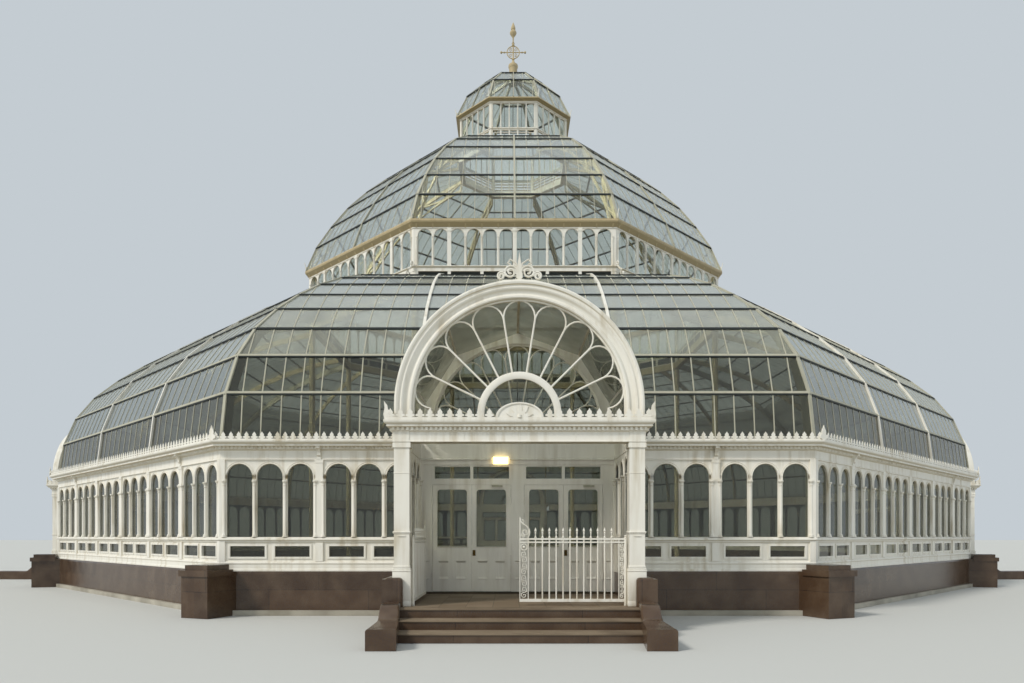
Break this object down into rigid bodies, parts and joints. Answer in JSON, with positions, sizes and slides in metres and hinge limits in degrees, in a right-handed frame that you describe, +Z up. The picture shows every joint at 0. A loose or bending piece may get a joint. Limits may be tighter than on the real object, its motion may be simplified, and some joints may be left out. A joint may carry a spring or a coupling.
{
  "type": "octagonal glass greenhouse",
  "caption": "Octagonal glass greenhouse in white cast iron, its dome stepped in tiers, with arched porches, doors and gates.",
  "frame": {"origin": "middle of the octagon plan at ground level", "axes": "+Z up, -Y towards the main entrance, +X to the right of someone facing the main entrance"},
  "size_m": [38.92, 38.92, 22.5221],
  "materials": {
    "white_iron": "gloss paint",
    "painted_timber": "white gloss paint",
    "clear_glass": "clear",
    "granite": "polished",
    "pale_stone": "weathered",
    "floor_tile": "worn",
    "lamp_glass": "frosted"
  },
  "bodies": {
    "building": {"arcade_walls": "white_iron", "clerestory_cornice": "white_iron", "clerestory_glass": "clear_glass", "clerestory_posts": "white_iron", "clerestory_walls": "white_iron", "corner_pedestals": "granite", "corner_posts": "white_iron", "door_glass": "clear_glass", "door_lintels": "painted_timber", "door_posts": "painted_timber", "door_sills": "pale_stone", "door_transoms": "painted_timber", "eaves_cornice": "white_iron", "fan_glass": "clear_glass", "finial": "white_iron", "fixed_doors": "painted_timber", "floor_slab": "floor_tile", "granite_plinth": "granite", "inner_columns": "white_iron", "lantern_cap": "white_iron", "lantern_cornice": "white_iron", "lantern_glass": "clear_glass", "lantern_posts": "white_iron", "lantern_ribs": "white_iron", "lantern_ring": "white_iron", "lantern_roof_glass": "clear_glass", "lantern_walls": "white_iron", "lower_hip_ribs": "white_iron", "lower_roof_glass": "clear_glass", "porch_arches": "white_iron", "porch_fanlights": "white_iron", "porch_floors": "floor_tile", "porch_front_beams": "white_iron", "porch_lamp": "lamp_glass", "porch_piers": "white_iron", "porch_side_beams": "white_iron", "porch_side_plinths": "granite", "porch_side_walls": "white_iron", "porch_steps": "granite", "principal_ribs": "white_iron", "ring_beam": "white_iron", "step_cheeks": "granite", "stone_kerb": "pale_stone", "upper_ribs": "white_iron", "upper_roof_glass": "clear_glass", "vault_arches": "white_iron", "vault_glass": "clear_glass", "vault_ribs": "white_iron", "wall_glass": "clear_glass"},
    "gate_left": {"left_gate": "white_iron"},
    "gate_right": {"right_gate": "white_iron"},
    "door_outer_left": {"outer_left_door": "painted_timber", "outer_left_pane": "clear_glass"},
    "door_inner_left": {"inner_left_door": "painted_timber", "inner_left_pane": "clear_glass"},
    "door_inner_right": {"inner_right_door": "painted_timber", "inner_right_pane": "clear_glass"},
    "door_outer_right": {"outer_right_door": "painted_timber", "outer_right_pane": "clear_glass"}
  },
  "joints": [
    {"name": "left_gate_hinge", "type": "hinge", "parent": "building", "child": "gate_left", "pos_m": [-1.804, -17.27905, 0.4373], "axis": [0, 0, -1], "range_deg": [0, 90]},
    {"name": "right_gate_hinge", "type": "hinge", "parent": "building", "child": "gate_right", "pos_m": [1.804, -17.27905, 0.4373], "axis": [0, 0, -1], "range_deg": [0, 90]},
    {"name": "outer_left_door_hinge", "type": "hinge", "parent": "building", "child": "door_outer_left", "pos_m": [-1.7425, -14.73105, 0.8], "axis": [0, 0, -1], "range_deg": [0, 90]},
    {"name": "inner_left_door_hinge", "type": "hinge", "parent": "building", "child": "door_inner_left", "pos_m": [-0.1375, -14.73105, 0.8], "axis": [0, 0, 1], "range_deg": [0, 90]},
    {"name": "inner_right_door_hinge", "type": "hinge", "parent": "building", "child": "door_inner_right", "pos_m": [0.1375, -14.73105, 0.8], "axis": [0, 0, -1], "range_deg": [0, 90]},
    {"name": "outer_right_door_hinge", "type": "hinge", "parent": "building", "child": "door_outer_right", "pos_m": [1.7425, -14.73105, 0.8], "axis": [0, 0, 1], "range_deg": [0, 90]}
  ]
}
